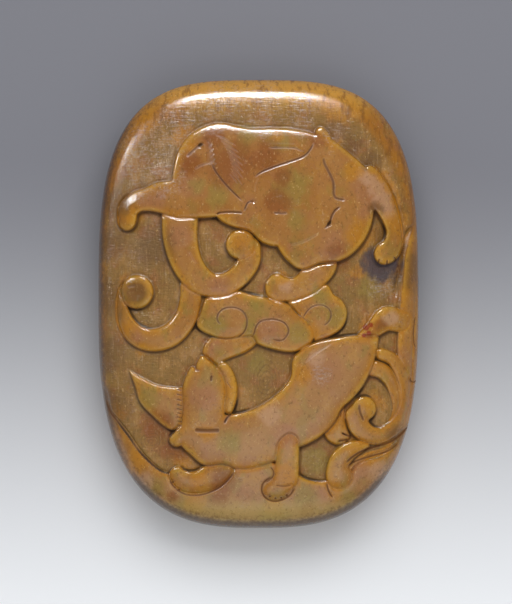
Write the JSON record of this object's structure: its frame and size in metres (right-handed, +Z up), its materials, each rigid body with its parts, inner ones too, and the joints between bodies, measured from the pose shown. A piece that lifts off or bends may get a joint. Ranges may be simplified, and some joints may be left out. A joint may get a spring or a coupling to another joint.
{
  "type": "carved ivory pendant",
  "caption": "Flattened, rounded carved pendant that lies on its back: crouching beasts, clouds and scrolls in relief on the front, a plain polished back with a cord tunnel.",
  "frame": {"origin": "on the underside, below the middle of the outline, as the pendant lies on its back", "axes": "+Z up out of the carved front, +Y towards the end that hangs uppermost, +X to the right of someone who looks at the front"},
  "size_m": [0.04, 0.056, 0.0139],
  "materials": {
    "ivory": "hand-polished, stained honey-brown ivory with dark recesses"
  },
  "bodies": {
    "root": {"pendant": "ivory"}
  },
  "joints": []
}
